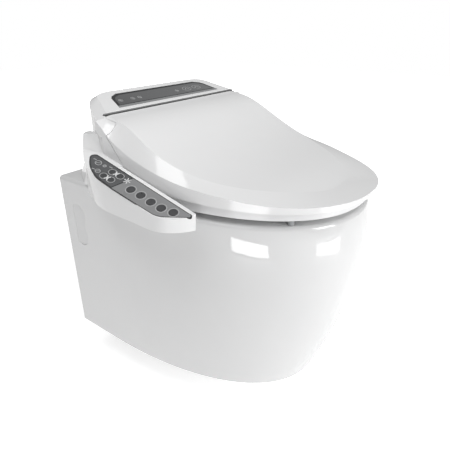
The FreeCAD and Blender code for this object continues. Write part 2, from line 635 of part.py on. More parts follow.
def lid_form(inset, rear_shift, low):
    """The lid's outside with a flat bottom, or the same form drawn inwards."""
    half, tip = L.lid_half_width - inset, L.lid_tip - inset
    crease = [Vector(across - 0.3 * inset, -back + rear_shift * (place == 0), height - inset)
              for place, (across, back, height) in enumerate(LID_CREASE)]
    edge = []
    for place, (back, height) in enumerate(LID_EDGE):
        ahead = max(0, (back - L.lid_start) / (L.lid_tip - L.lid_start))
        across = half * (1 - ahead ** 2.2) ** (1 / 2.2)
        back = back if back < L.lid_start else L.lid_start + ahead * (tip - L.lid_start)
        edge.append(Vector(across, -back + rear_shift * (place == 0), height - inset * 0.9))
    low_edge = [Vector(p.x, p.y, low) for p in edge]

    def mirrored(points):
        return [Vector(-p.x, p.y, p.z) for p in points]

    def nose(point, height):
        across = point.x
        middle = Vector(0, -tip, height)
        between = Vector(across * 0.5, point.y * 0.2 - tip * 0.8, (height * 2 + point.z) / 3)
        return curve_through([point, between, middle, mirrored([between])[0], mirrored([point])[0]])

    top_nose = nose(edge[-1], 373.3 - inset * 0.9)
    low_nose = nose(low_edge[-1], low)
    crease_nose = line(crease[-1], mirrored([crease[-1]])[0])
    right = [curve_through(points) for points in (crease, edge, low_edge)]
    left = [curve_through(mirrored(points)) for points in (crease, edge, low_edge)]
    faces = [Part.makeRuledSurface(right[0], left[0])]
    for rails in (right, left):
        faces.append(Part.makeRuledSurface(rails[0], rails[1]))
        faces.append(Part.makeRuledSurface(rails[1], rails[2]))
    faces.append(Part.makeRuledSurface(crease_nose, top_nose))
    faces.append(Part.makeRuledSurface(top_nose, low_nose))
    rear = [crease[0], edge[0], low_edge[0]]
    rear += reversed(mirrored(rear))
    faces.append(Part.Face(Part.makePolygon(rear + rear[:1])))
    faces.append(Part.Face(Part.Wire(Part.__sortEdges__(
        [right[2], low_nose, left[2], line(low_edge[0], mirrored(low_edge[:1])[0])]))))
    shell = Part.Shell(faces)
    shell.sewShape()
    return Part.Solid(shell)


lid_outside = lid_form(0, 0, L.pan_height)
lid_inside = lid_form(L.lid_wall, 6, L.pan_height - 20)
below_edge = Part.BSplineCurve()
below_edge.interpolate([Vector(-220, -back, height) for back, height in
                        ((201, 394), (230, 384), (257, 377.3), (287, 371.8), (330, 368.3), (380, 366),
                         (434, 364.3), (490, 363.9), (531, 366))])
under_corners = [Vector(-220, -back, height) for back, height in
                 ((531, 366), (560, 368), (560, 300), (201, 300), (201, 394))]
under_edges = [below_edge.toShape()] + [line(*pair) for pair in zip(under_corners, under_corners[1:])]
under_lid = Part.Face(Part.Wire(under_edges)).extrude(Vector(440, 0, 0))
gap = L.lid_corner_gap * 1.27
behind_corner = side_prism([(cheek_front + 1.6, 392 + gap * 1.6), (L.hinge_back, 453 + gap * 1.6),
                            (97, 528.3 + gap * 1.6), (97, 300), (cheek_front + 1.6, 300)], -220, 220)
behind = block(-220, 220, -L.lid_rear, 0, 300, 520)
lid_shell = lid_outside.cut([lid_inside, under_lid, behind])
hinge_middle = Vector(L.cheek_inside, -L.hinge_back, L.hinge_height)
knuckle_gap = both_sides(rod(L.knuckle_radius + 0.9, hinge_middle - Vector(0.7, 0, 0),
                             hinge_middle + Vector(30, 0, 0)))
between_cheeks = block(-L.cheek_inside + 0.7, L.cheek_inside - 0.7, 0, -300, 300, 540)
lid_shell = lid_shell.cut([behind_corner.cut(between_cheeks)] + knuckle_gap)
knuckles = [shape.common(lid_outside) for shape in
            both_sides(rod(L.knuckle_radius, hinge_middle, hinge_middle + Vector(30, 0, 0)))]
keep_shape("housing_cover", cover.fuse(knuckles))
ear_start = arm_end + L.hinge_side_gap
ears = [shape.common(lid_outside) for shape in
        both_sides(link(L.hinge_back, L.hinge_height, L.hinge_boss_radius, 188, 447, 8,
                        ear_start, ear_start + L.lid_ear_width))]
keep_shape("lid", lid_shell.fuse(ears).cut(eyes))

lid_pads = []
for shape in both_sides(rod(6, Vector(108, -442, seat_top_height(436) + L.buffer_gap), Vector(108, -442, 400))):
    lid_pads.append(shape.common(lid_inside))
keep_shape("lid_buffers", Part.makeCompound(lid_pads))

# ---------------------------------------------------------------------------------------------
# Control arm at the left side: body, dark fascia, grey inlay, five keys and their board
# ---------------------------------------------------------------------------------------------
ARM_FOOT = [(186, 84), (200, 113), (212, 138), (219, 152), (224, 167), (228, 185), (229.5, 200),
            (231, 235), (233, 270), (234, 300), (229, 317), (218, 332), (206, 342), (197, 347)]
ARM_TOP = [(184, 104), (205, 119), (221, 135), (231, 147), (236, 159), (240, 177), (242, 195),
           (240.5, 230), (240, 262), (240, 303), (236, 325), (225, 343), (212, 352), (197, 355)]
arm_datum = Vector(-L.arm_top_across, -L.arm_top_back, L.arm_top_height)
arm_out = Vector(-L.arm_fall_out, -L.arm_fall_ahead, 1).normalize()
arm_ahead = Vector(0, -1, -L.arm_fall_ahead).normalize()
on_arm = Placement(arm_datum, Rotation(arm_ahead, arm_out.cross(arm_ahead), arm_out, "XYZ"))


def arm_loft(inset):
    """The arm between its foot and a level above its top, drawn inwards by inset."""
    wires = []
    for outline, height in ((ARM_FOOT, 332 + inset), (ARM_TOP, 446)):
        outer = [Vector(-across + inset, -back + inset * (2 * place / len(outline) - 1), height)
                 for place, (across, back) in enumerate(outline)]
        inner = [Vector(-176, outer[-1].y, height), Vector(-176, outer[0].y, height)]
        wires.append(Part.Wire([curve_through(outer), line(outer[-1], inner[0]), line(*inner),
                                line(inner[1], outer[0])]))
    return Part.makeLoft(wires, True, True)


def under_arm_top(drop):
    """Everything below the arm's sloping top, moved down square to it by drop."""
    slab = block(-220, 190, -160, 160, -200, -drop)
    slab.Placement = on_arm
    return slab


def under_shoulder(drop):
    """Everything below the steep shoulder where the arm meets the housing."""
    corners = [Vector(x, y, 438 + 0.661 * (y + 121) + 1.347 * (x + 190) - drop * 1.8)
               for x, y in ((-170, -60), (-170, -230), (-230, -230), (-230, -60))]
    base = [Vector(p.x, p.y, 250) for p in corners]
    wires = [Part.makePolygon(points + points[:1]) for points in (base, corners)]
    return Part.makeLoft(wires, True, True).common(block(-260, -150, -60, -230, 250, 438 - drop))


arm_fits = [housing_form(-0.2), block(-189.4, -150, 0, -400, 300, L.pan_height + L.cover_skirt_gap),
            block(-195.8, -150, -cheek_front - 0.2, -400, 300, 500),
            side_prism([(cheek_front + 1, 392), (L.hinge_back, 451), (97, 526.3), (300, 540), (300, 392)],
                       -195.8, -150)]
arm_body = arm_loft(0).common(under_arm_top(0).fuse(under_shoulder(0))).cut(arm_fits)
board_drop = 8.4
arm_room = arm_loft(L.arm_wall).common(under_arm_top(L.fascia_thickness + L.arm_wall))
arm_room = arm_room.cut(block(-195.8 - L.arm_wall, -150, -130, -400, 300, 500)).common(
    block(-260, -190, -150, -400, 300, 500))


def on_top(points_ahead_out, top, bottom):
    """Plate on the arm's top inside a closed outline of (ahead, outwards) corners and curves."""
    edges = []
    for run in points_ahead_out:
        spots = [Vector(ahead, -out, bottom) for ahead, out in run]
        edges.append(line(*spots) if len(spots) == 2 else curve_through(spots))
    plate = Part.Face(Part.Wire(edges)).extrude(Vector(0, 0, top - bottom))
    plate.Placement = on_arm
    return plate


FASCIA = [[(-62, 1), (136, 1)], [(136, 1), (141, 2.2), (142.5, 5), (139, 8)], [(139, 8), (114, 28)],
          [(114, 28), (108, 32), (101, 34.8), (92, 36)], [(92, 36), (50, 37.4), (10, 38.4)],
          [(10, 38.4), (-13, 38), (-27, 36.6), (-36, 34), (-46, 30), (-57, 23.5), (-67, 15), (-71, 9),
           (-68.5, 3.6), (-62, 1)]]
KEY_PLATE = [[(21, 2.2), (134, 2.2)], [(134, 2.2), (139, 3), (140, 5.2), (137.5, 7.6)],
             [(137.5, 7.6), (113, 27)], [(113, 27), (107, 30.8), (100.5, 33.6), (92, 34.8)],
             [(92, 34.8), (50, 36.2), (11, 37.2)], [(11, 37.2), (15.5, 22), (21, 2.2)]]
KEYS = [(36, 21), (56, 20), (77, 20), (97, 19), (116, 14)]
key_top = 0.6
key_depth = 5.4
key_holes = []
for ahead, out in KEYS:
    start = on_arm.multVec(Vector(ahead, -out, 2))
    key_holes.append(rod(L.arm_key_radius + L.arm_key_gap, start, start - arm_out * (key_depth + 2)))
boss_spots = [(26, 9), (26, 31), (66, 6), (66, 32), (107, 5)]
bosses = []
for ahead, out in boss_spots:
    start = on_arm.multVec(Vector(ahead, -out, -L.fascia_thickness))
    bosses.append(rod(2.4, start, start - arm_out * (board_drop - L.fascia_thickness)))
fascia = on_top(FASCIA, 0, -L.fascia_thickness)
key_plate = on_top(KEY_PLATE, 0, -L.inlay_thickness)
arm_body = arm_body.cut([arm_room, fascia]).fuse(bosses).cut(key_holes)
keep_shape("control_arm", arm_body)
keep_shape("arm_fascia", fascia.cut([key_plate] + key_holes))
keep_shape("key_plate", key_plate.cut(key_holes))
for number, (ahead, out) in enumerate(KEYS, start=1):
    cap = rod(L.arm_key_radius, Vector(0, 0, -key_depth), Vector(0, 0, key_top))
    cap = cap.makeChamfer(0.4, [e for e in cap.Edges if e.BoundBox.ZMin > key_top - 0.1])
    flange = rod(L.arm_key_radius + 1.3, Vector(0, 0, -key_depth), Vector(0, 0, -key_depth + 0.8))
    keep_shape("key_%d" % number, cap.fuse(flange), on_arm.multiply(Placement(Vector(ahead, -out, 0), Rotation())))
board = block(18, 128, -34, -4, -board_drop - 1.6, -board_drop)
switches = []
for ahead, out in KEYS:
    switches.append(block(ahead - 3, ahead + 3, -out - 3, -out + 3, -board_drop, -board_drop + 1.6))
board = board.cut(block(112, 130, -36, -22, -20, 0)).fuse(switches)
keep_shape("key_board", board, on_arm)


# ---------------------------------------------------------------------------------------------
# Deck fixings: plate, screws, bushes and nuts
# ---------------------------------------------------------------------------------------------
def centred_rectangle(body, name, width, depth):
    """Sketch of a rectangle round the body's origin; both sizes are expressions on the sheet."""
    sketch = body.newObject("Sketcher::SketchObject", name)
    sketch.AttachmentSupport = [(body.Origin.OriginFeatures[3], "")]
    sketch.MapMode = "FlatFace"
    corners = [Vector(-10, -10, 0), Vector(10, -10, 0), Vector(10, 10, 0), Vector(-10, 10, 0)]
    for start, end in zip(corners, corners[1:] + corners[:1]):
        sketch.addGeometry(Part.LineSegment(start, end))
    for edge in range(4):
        sketch.addConstraint(Sketcher.Constraint("Coincident", edge, 2, (edge + 1) % 4, 1))
        sketch.addConstraint(Sketcher.Constraint("Vertical" if edge % 2 else "Horizontal", edge))
    sketch.addConstraint(Sketcher.Constraint("Symmetric", 0, 1, 2, 1, -1, 1))
    for kind, edge, size in (("DistanceX", 0, width), ("DistanceY", 1, depth)):
        place = sketch.addConstraint(Sketcher.Constraint(kind, edge, 1, edge, 2, 20.0))
        sketch.setExpression("Constraints[%d]" % place, size)
    return sketch


def padded(body, sketch, name, length):
    pad = body.newObject("PartDesign::Pad", name)
    pad.Profile = sketch
    pad.setExpression("Length", length)
    return pad


plate = doc.addObject("PartDesign::Body", "mounting_plate")
padded(plate, centred_rectangle(plate, "plate_outline", "2 * Sizes.plate_half_width", "Sizes.plate_depth"),
       "plate_pad", "Sizes.plate_thickness")
plate_hole = plate.newObject("Sketcher::SketchObject", "plate_hole")
plate_hole.AttachmentSupport = [(plate.Origin.OriginFeatures[3], "")]
plate_hole.MapMode = "FlatFace"
plate_hole.addGeometry(Part.Circle(Vector(70, 0, 0), Vector(0, 0, 1), 4))
plate_hole.addConstraint(Sketcher.Constraint("PointOnObject", 0, 3, -1))
for constraint, size in ((Sketcher.Constraint("DistanceX", -1, 1, 0, 3, 70.0), "Sizes.seat_bolt_spacing / 2"),
                         (Sketcher.Constraint("Radius", 0, 4.0), "Sizes.seat_bolt_radius + 0.2")):
    plate_hole.setExpression("Constraints[%d]" % plate_hole.addConstraint(constraint), size)
plate_pocket = plate.newObject("PartDesign::Pocket", "plate_pocket")
plate_pocket.Profile = plate_hole
plate_pocket.Type = "ThroughAll"
plate_pocket.Midplane = True
plate_pair = plate.newObject("PartDesign::Mirrored", "plate_pair")
plate_pair.Originals = [plate_pocket]
plate_pair.MirrorPlane = (plate.Origin.OriginFeatures[5], [""])
plate.Tip = plate_pair
plate.setExpression("Placement.Base.y", "-Sizes.seat_bolt_back")
keep("mounting_plate", plate, "Sizes.pan_height")

screw_sets = (
    ("fixing_screws", (("Sizes.seat_bolt_radius", "-38", "38 + Sizes.plate_thickness"),
                       ("7.5", "Sizes.plate_thickness", "2.8")), None),
    ("expansion_bushes", (("Sizes.deck_hole_radius - 0.1", "-32", "32"),), "Sizes.seat_bolt_radius + 0.05"),
    ("fixing_nuts", (("7", "-38", "6"),), "Sizes.seat_bolt_radius + 0.05"),
)
for label, steps, bore in screw_sets:
    halves = []
    for side in ("-", ""):
        across = side + "Sizes.seat_bolt_spacing / 2"
        hand = label + ("_left" if side else "_right")
        rods = [bound("Cylinder", "%s_step_%d" % (hand, number), x=across, y="-Sizes.seat_bolt_back",
                      z="Sizes.pan_height + " + start, Radius=radius, Height=length)
                for number, (radius, start, length) in enumerate(steps)]
        if len(rods) == 2:
            whole = doc.addObject("Part::Fuse", hand)
            whole.Base, whole.Tool = rods
        else:
            whole = doc.addObject("Part::Cut", hand)
            whole.Base = rods[0]
            whole.Tool = bound("Cylinder", hand + "_bore", x=across, y="-Sizes.seat_bolt_back",
                               z="Sizes.pan_height - 40", Radius=bore, Height="42")
        halves.append(whole)
    pair = doc.addObject("Part::Compound", label)
    pair.Links = halves
    keep(label, pair)

# ---------------------------------------------------------------------------------------------
# Wash nozzles, their guide and drive
# ---------------------------------------------------------------------------------------------
slope = radians(L.nozzle_slope)
nozzle_way = Vector(0, -cos(slope), -sin(slope))
nozzle_up = Vector(0, -sin(slope), cos(slope))
guide_radius = L.nozzle_radius + L.nozzle_gap + L.guide_wall
guide = [block(-21.5, 21.5, -128, -152, floor_top, 379)]
guide_bores = []
for label, side in (("wash_nozzle", -1), ("bidet_nozzle", 1)):
    tip = Vector(side * L.nozzle_spacing / 2, -192, 349)
    nozzle = rod(L.nozzle_radius, tip - nozzle_way * L.nozzle_length, tip)
    nozzle = nozzle.makeFillet(4, [e for e in nozzle.Edges if e.BoundBox.YMax < -180])
    jets = []
    for jet in range(3 if side < 0 else 2):
        middle = tip - nozzle_way * (9 + 4 * jet)
        jets.append(rod(1.1, middle + nozzle_up * (L.nozzle_radius - 3), middle + nozzle_up * 10))
    keep_shape(label, nozzle.cut(jets))
    guide.append(rod(guide_radius, tip - nozzle_way * 116, tip - nozzle_way * 14))
    guide_bores.append(rod(L.nozzle_radius + L.nozzle_gap, tip - nozzle_way * 150, tip))
keep_shape("nozzle_guide", guide[0].fuse(guide[1:]).cut(guide_bores))
motor = block(-19, 19, -78, -104, floor_top, floor_top + 30).fuse(
    rod(3, Vector(-27, -92, floor_top + 18), Vector(27, -92, floor_top + 18)))
keep_shape("nozzle_motor", motor)

# ---------------------------------------------------------------------------------------------
# Water and air: heater tank, inlet, valve, hose, dryer, sensor window; power: board and gland
# ---------------------------------------------------------------------------------------------
tank = doc.addObject("PartDesign::Body", "water_tank")
tank_pad = padded(tank, centred_rectangle(tank, "tank_outline", "Sizes.tank_width", "Sizes.tank_depth"),
                  "tank_pad", "Sizes.tank_height")
doc.recompute()
tank_fillet = tank.newObject("PartDesign::Fillet", "tank_fillet")
tank_fillet.Base = (tank_pad, ["Edge%d" % (number + 1) for number, e in enumerate(tank_pad.Shape.Edges)
                               if e.BoundBox.ZMax > L.tank_height / 2])
tank_fillet.Radius = 8
tank.Tip = tank_fillet
tank.Placement = Placement(Vector(-84, -104, 0), Rotation())
keep("water_tank", tank, "Sizes.pan_height + Sizes.plate_thickness + Sizes.base_thickness")

circuit = doc.addObject("PartDesign::Body", "control_board")
padded(circuit, centred_rectangle(circuit, "board_outline", "Sizes.board_width", "Sizes.board_height"),
       "board_pad", "Sizes.board_thickness")
padded(circuit, centred_rectangle(circuit, "relay_outline", "Sizes.board_width / 3",
                                  "Sizes.board_height / 2"), "relay_pad", "12")
circuit.Placement = Placement(Vector(70, -76, 0), Rotation(Vector(1, 0, 0), 90))
keep("control_board", circuit,
     "Sizes.pan_height + Sizes.plate_thickness + Sizes.base_thickness + Sizes.board_height / 2")

valve_face = 140
keep_shape("inlet_valve", block(112, valve_face, -56, -84, floor_top, floor_top + 36).cut(
    rod(6, service + Vector(120, 0, 0), service + Vector(valve_face + 1, 0, 0))))
inlet_rods = [
    bound("Cylinder", "water_inlet_" + name, x=start, y="-Sizes.service_back", z="Sizes.service_height",
          turn=across_axis, Radius=radius, Height=length)
    for name, start, radius, length in (
        ("shank", "140", "Sizes.inlet_thread_radius - 0.3", "Sizes.inlet_end - Sizes.inlet_reach - 140"),
        ("thread", "Sizes.inlet_end - Sizes.inlet_reach", "Sizes.inlet_thread_radius",
         "Sizes.inlet_reach"),
        ("bore", "139", "Sizes.inlet_thread_radius - 3", "Sizes.inlet_end - 137"))]
inlet_body = doc.addObject("Part::Fuse", "water_inlet_body")
inlet_body.Base, inlet_body.Tool = inlet_rods[:2]
inlet_tube = doc.addObject("Part::Cut", "water_inlet")
inlet_tube.Base, inlet_tube.Tool = inlet_body, inlet_rods[2]
keep("water_inlet", inlet_tube)
hose_height = 356
hose_bend = [Vector(-52, -64, hose_height), Vector(-57.7, -66.3, hose_height), Vector(-60, -72, hose_height)]
hose_path = Part.Wire([line(Vector(112, -64, hose_height), hose_bend[0]), Part.Arc(*hose_bend).toShape(),
                       line(hose_bend[2], Vector(-60, -76, hose_height))])
hose_ring = Part.Wire([Part.makeCircle(4, Vector(112, -64, hose_height), Vector(-1, 0, 0))])
keep_shape("water_hose", hose_path.makePipeShell([hose_ring], True, False))
keep("power_gland", bound("Cylinder", "power_gland", x="Sizes.gland_end - 30", y="-Sizes.gland_back",
                          turn=across_axis, Radius="Sizes.gland_radius", Height="30"), "Sizes.service_height")
fan = rod(27, Vector(75, -127, floor_top), Vector(75, -127, floor_top + 40)).fuse(
    block(57, 93, -127, -157, floor_top, floor_top + 21))
keep_shape("dryer_fan", fan.cut(rod(14, Vector(75, -127, floor_top + 34), Vector(75, -127, floor_top + 41))))
duct = block(55.5, 94.5, -157, -210, floor_top, 367.5).cut(block(57.5, 92.5, -150, -215, floor_top + 2, 365.5))
keep_shape("dryer_duct", duct.common(housing_outside))
keep_shape("sensor_window", rod(L.gland_radius, sensor_middle - face_normal * L.cover_wall, sensor_middle))

doc.recompute()
for piece in doc.Objects:
    if "Invalid" in piece.State or "Error" in piece.State:
        raise RuntimeError("%s did not rebuild" % piece.Label)
for piece in sub_parts:
    if piece.Shape.isNull() or not piece.Shape.isValid() or not piece.Shape.Solids:
        raise RuntimeError("%s is not a valid solid" % piece.Label)
os.makedirs("parts", exist_ok=True)
for piece in sub_parts:
    piece.Shape.exportStep("parts/%s.step" % piece.Label)
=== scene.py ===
from math import cos, pi, radians, sin

import bmesh
import bpy
from mathutils import Matrix, Vector


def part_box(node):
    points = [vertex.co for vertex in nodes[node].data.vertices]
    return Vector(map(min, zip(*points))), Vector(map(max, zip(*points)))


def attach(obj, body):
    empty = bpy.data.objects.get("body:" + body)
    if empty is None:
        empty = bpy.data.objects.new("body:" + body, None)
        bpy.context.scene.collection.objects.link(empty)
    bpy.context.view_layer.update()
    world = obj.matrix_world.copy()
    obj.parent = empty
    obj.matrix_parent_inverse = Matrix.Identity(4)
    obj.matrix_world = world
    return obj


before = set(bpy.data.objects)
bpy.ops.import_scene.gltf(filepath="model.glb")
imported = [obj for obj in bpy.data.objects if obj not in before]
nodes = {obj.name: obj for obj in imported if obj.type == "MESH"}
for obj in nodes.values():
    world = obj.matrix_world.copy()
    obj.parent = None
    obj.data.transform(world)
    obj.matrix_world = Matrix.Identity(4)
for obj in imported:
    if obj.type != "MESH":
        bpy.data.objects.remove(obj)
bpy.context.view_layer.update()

# ---------------------------------------------------------------------------------------------
# Pan: slip-cast vitreous china, spray glazed white and fired. The glaze has pooled a little
# thicker in places, so its surface is faintly wavy, and the dense body shows through very
# slightly warmer where it is thin.
# ---------------------------------------------------------------------------------------------


class Signal:
    """What leaves one node's socket. Arithmetic on it adds Math nodes to the same recipe."""

    def __init__(self, recipe, socket):
        self.recipe = recipe
        self.socket = socket

    def _math(self, operation, first, second):
        return self.recipe.add("ShaderNodeMath", {"operation": operation}, {0: first, 1: second})

    def __add__(self, other):
        return self._math("ADD", self, other)

    def __radd__(self, other):
        return self._math("ADD", other, self)

    def __mul__(self, other):
        return self._math("MULTIPLY", self, other)

    def __rmul__(self, other):
        return self._math("MULTIPLY", other, self)


class Recipe:
    """One finish, mixed from nodes that read where a point lies on the object."""

    def __init__(self, name):
        self.material = bpy.data.materials.new(name)
        self.material.use_nodes = True
        self.tree = self.material.node_tree
        self.tree.nodes.clear()
        self.place = self.add("ShaderNodeTexCoord", out="Object")

    def add(self, kind, settings=None, sockets=None, out=0):
        node = self.tree.nodes.new(kind)
        for setting, value in (settings or {}).items():
            setattr(node, setting, value)
        for socket, value in (sockets or {}).items():
            if isinstance(value, Signal):
                self.tree.links.new(value.socket, node.inputs[socket])
            else:
                node.inputs[socket].default_value = value
        return Signal(self, node.outputs[out])

    def noise(self, scale, detail=2.0):
        return self.add("ShaderNodeTexNoise", None,
                        {"Vector": self.place, "Scale": scale, "Detail": detail})

    def blend(self, share, first, second):
        return self.add("ShaderNodeMix", {"data_type": "RGBA"},
                        {0: share, 6: (*first, 1.0), 7: (*second, 1.0)}, out=2)

    def surface(self, colour, roughness, height, depth, **fixed):
        """Closes the recipe: depth is the height map's full range in metres."""
        normal = self.add("ShaderNodeBump", None,
                          {"Height": height, "Strength": 1.0, "Distance": depth}, out="Normal")
        sockets = {"Base Color": colour, "Roughness": roughness, "Normal": normal}
        sockets.update({name.replace("_", " "): value for name, value in fixed.items()})
        shader = self.add("ShaderNodeBsdfPrincipled", None, sockets)
        self.add_end(shader)
        return self.material

    def add_end(self, shader):
        end = self.tree.nodes.new("ShaderNodeOutputMaterial")
        self.tree.links.new(shader.socket, end.inputs["Surface"])


def dress(material, *names):
    """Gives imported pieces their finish."""
    for name in names:
        for slot in nodes[name].material_slots:
            slot.material = material


glaze = Recipe("glaze")
pooling = glaze.noise(9.0, 3.0)
ripple = glaze.noise(42.0, 2.0)
dress(glaze.surface(glaze.blend(pooling, (0.77, 0.772, 0.776), (0.805, 0.806, 0.806)),
                    0.035 + pooling * 0.05, pooling * 0.8 + ripple * 0.2, 0.0005,
                    Coat_Weight=0.6, Coat_Roughness=0.03, Specular_IOR_Level=0.55), "pan")

# ---------------------------------------------------------------------------------------------
# Housing, lid and control arm: injection moulded white plastic from polished tools. The skin
# is glossy, with the very fine ripple that moulded plastic has under a reflection.
# ---------------------------------------------------------------------------------------------
moulding = Recipe("moulded_white")
flow = moulding.noise(14.0, 2.0)
skin = moulding.noise(260.0, 1.0)
dress(moulding.surface(moulding.blend(flow, (0.875, 0.877, 0.88), (0.895, 0.896, 0.898)),
                       0.1 + flow * 0.07, flow * 0.85 + skin * 0.15, 0.00012,
                       Coat_Weight=0.25, Coat_Roughness=0.05), "housing_cover", "lid", "control_arm")

# ---------------------------------------------------------------------------------------------
# Heated seat: two moulded white shells welded round the heating foil. The ring is a shade
# softer in its gloss than the lid, so that skin doesn't slip on it.
# ---------------------------------------------------------------------------------------------
seat_skin = Recipe("seat_white")
satin = seat_skin.noise(20.0, 2.0)
grain = seat_skin.noise(420.0, 2.0)
dress(seat_skin.surface(seat_skin.blend(satin, (0.82, 0.825, 0.83), (0.85, 0.853, 0.856)),
                        0.17 + satin * 0.08, satin * 0.7 + grain * 0.3, 0.0001),
      "seat_top", "seat_base")

foil = Recipe("heating_foil")
crinkle = foil.noise(120.0, 4.0)
dress(foil.surface(foil.blend(crinkle, (0.62, 0.62, 0.64), (0.78, 0.78, 0.8)),
                   0.25 + crinkle * 0.25, crinkle, 0.0006, Metallic=1.0), "seat_heater")

# ---------------------------------------------------------------------------------------------
# Buffers, hose and bushes: compression moulded rubber, grey where it is seen and black in the
# deck, with the dull bloom of unpolished tools.
# ---------------------------------------------------------------------------------------------
for tone, low, high, names in (
    ("grey_rubber", (0.3, 0.31, 0.32), (0.4, 0.41, 0.42), ("seat_buffers", "lid_buffers", "water_hose")),
    ("black_rubber", (0.02, 0.02, 0.021), (0.045, 0.045, 0.046), ("expansion_bushes",)),
):
    rubber = Recipe(tone)
    bloom = rubber.noise(70.0, 4.0)
    dress(rubber.surface(rubber.blend(bloom, low, high), 0.55 + bloom * 0.25, bloom, 0.0001), *names)

# ---------------------------------------------------------------------------------------------
# Hinge channel: a charcoal moulding with a spark-eroded texture, glued behind the lid's edge,
# where it shows as an even grey strip. Its dark grey is partly its own colour and partly painted
# shade, standing in for the shade of the deep gap behind the lid.
# ---------------------------------------------------------------------------------------------
channel = Recipe("channel_charcoal_and_painted_shade")
spark = channel.noise(900.0, 3.0)
dust = channel.noise(30.0, 3.0)
# The dark grey here is partly painted shade of the deep gap behind the lid.
dress(channel.surface(channel.blend(dust, (0.2, 0.202, 0.205), (0.26, 0.262, 0.265)),
                      0.42 + spark * 0.2, spark, 0.00006), "hinge_channel")

# ---------------------------------------------------------------------------------------------
# Working parts inside: pale grey and black mouldings, matte, straight from textured tools.
# ---------------------------------------------------------------------------------------------
for tone, low, high, names in (
    ("works_grey", (0.42, 0.43, 0.44), (0.52, 0.53, 0.54),
     ("housing_base", "hinge_brackets", "damper_left", "damper_right", "nozzle_guide",
      "water_tank", "dryer_duct")),
    ("works_black", (0.02, 0.02, 0.022), (0.05, 0.05, 0.053),
     ("nozzle_motor", "inlet_valve", "dryer_fan", "power_gland")),
):
    works = Recipe(tone)
    cloud = works.noise(25.0, 3.0)
    texture = works.noise(700.0, 2.0)
    dress(works.surface(works.blend(cloud, low, high), 0.38 + texture * 0.25, texture, 0.00005), *names)

board = Recipe("board_lacquer")
tracks = board.noise(160.0, 1.0)
dress(board.surface(board.blend(tracks, (0.012, 0.09, 0.035), (0.03, 0.16, 0.07)),
                    0.22 + tracks * 0.2, tracks, 0.0001), "key_board", "control_board")

# ---------------------------------------------------------------------------------------------
# Fixings and inlet: zinc plated steel plate and screws, ground steel hinge pins, turned brass.
# ---------------------------------------------------------------------------------------------
for tone, low, high, rough, names in (
    ("zinc_plate", (0.5, 0.51, 0.53), (0.66, 0.66, 0.67), 0.3,
     ("mounting_plate", "fixing_screws", "fixing_nuts")),
    ("ground_steel", (0.55, 0.55, 0.56), (0.68, 0.68, 0.68), 0.16, ("hinge_pin_left", "hinge_pin_right")),
    ("turned_brass", (0.6, 0.42, 0.18), (0.78, 0.58, 0.28), 0.2, ("water_inlet",)),
):
    metal = Recipe(tone)
    wear = metal.noise(90.0, 4.0)
    dress(metal.surface(metal.blend(wear, low, high), rough + wear * 0.2, wear, 0.00004, Metallic=1.0),
          *names)

# ---------------------------------------------------------------------------------------------
# Wash nozzles: glossy white moulded tubes with round spray holes, pushed out on a rack.
# ---------------------------------------------------------------------------------------------
nozzle = Recipe("nozzle_white")
water_marks = nozzle.noise(60.0, 3.0)
dress(nozzle.surface(nozzle.blend(water_marks, (0.78, 0.79, 0.8), (0.86, 0.865, 0.87)),
                     0.08 + water_marks * 0.1, water_marks, 0.00008, Coat_Weight=0.3),
      "wash_nozzle", "bidet_nozzle")

# ---------------------------------------------------------------------------------------------
# Top panel: a charcoal film let into the roof, with a lighter touch face inside its dark rim, a
# grey band along the front edge, and plain touch marks printed towards both ends of the face.
# ---------------------------------------------------------------------------------------------
film = Recipe("panel_charcoal")
haze = film.noise(12.0, 2.0)
fine = film.noise(800.0, 1.0)
panel_dark = film.surface(film.blend(haze, (0.03, 0.031, 0.033), (0.045, 0.046, 0.048)),
                          0.42 + haze * 0.1, fine, 0.00002, Specular_IOR_Level=0.25)
dress(panel_dark, "top_panel", "arm_fascia", "sensor_window")

face_film = Recipe("panel_touch_face_painted_sheen")
# The touch face is painted from dark at its -x end to lighter at its +x end: a painted sheen across the
# glossy film. The random haze on top is the film's own.
sweep = face_film.add("ShaderNodeSeparateXYZ", None, {"Vector": face_film.place}, out="X")
painted_sheen = sweep * 2.4 + face_film.noise(10.0, 2.0) * 0.5 + 0.2
panel_face = face_film.surface(face_film.blend(painted_sheen, (0.075, 0.077, 0.08), (0.15, 0.153, 0.157)),
                               0.2 + face_film.noise(16.0) * 0.08, face_film.noise(800.0), 0.00002,
                               Coat_Weight=0.4)
band_film = Recipe("panel_band_grey")
band_haze = band_film.noise(18.0, 2.0)
band_grey = band_film.surface(band_film.blend(band_haze, (0.23, 0.235, 0.24), (0.28, 0.285, 0.29)),
                              0.22 + band_haze * 0.1, band_haze, 0.00003)
dress(band_grey, "panel_band")

print_ink = Recipe("printed_pale")
ink = print_ink.noise(300.0, 2.0)
pale_ink = print_ink.surface(print_ink.blend(ink, (0.42, 0.425, 0.43), (0.5, 0.505, 0.51)),
                             0.35 + ink * 0.15, ink, 0.00001)


def plane_matrix(origin, along, up):
    """Places work drawn flat: its x runs along, and its z along up, from the origin."""
    x = Vector(along).normalized()
    z = Vector(up).normalized()
    y = z.cross(x)
    turned = Matrix((x, y, z)).transposed().to_4x4()
    return Matrix.Translation(Vector(origin)) @ turned


def settle(shape, name, material, body, place):
    """Turns finished flat work into a piece lying where it belongs, and fixes it to its body."""
    bmesh.ops.recalc_face_normals(shape, faces=shape.faces)
    bmesh.ops.transform(shape, matrix=place, verts=shape.verts)
    mesh = bpy.data.meshes.new(name)
    shape.to_mesh(mesh)
    shape.free()
    mesh.materials.append(material)
    piece = bpy.data.objects.new(name, mesh)
    bpy.context.scene.collection.objects.link(piece)
    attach(piece, body)


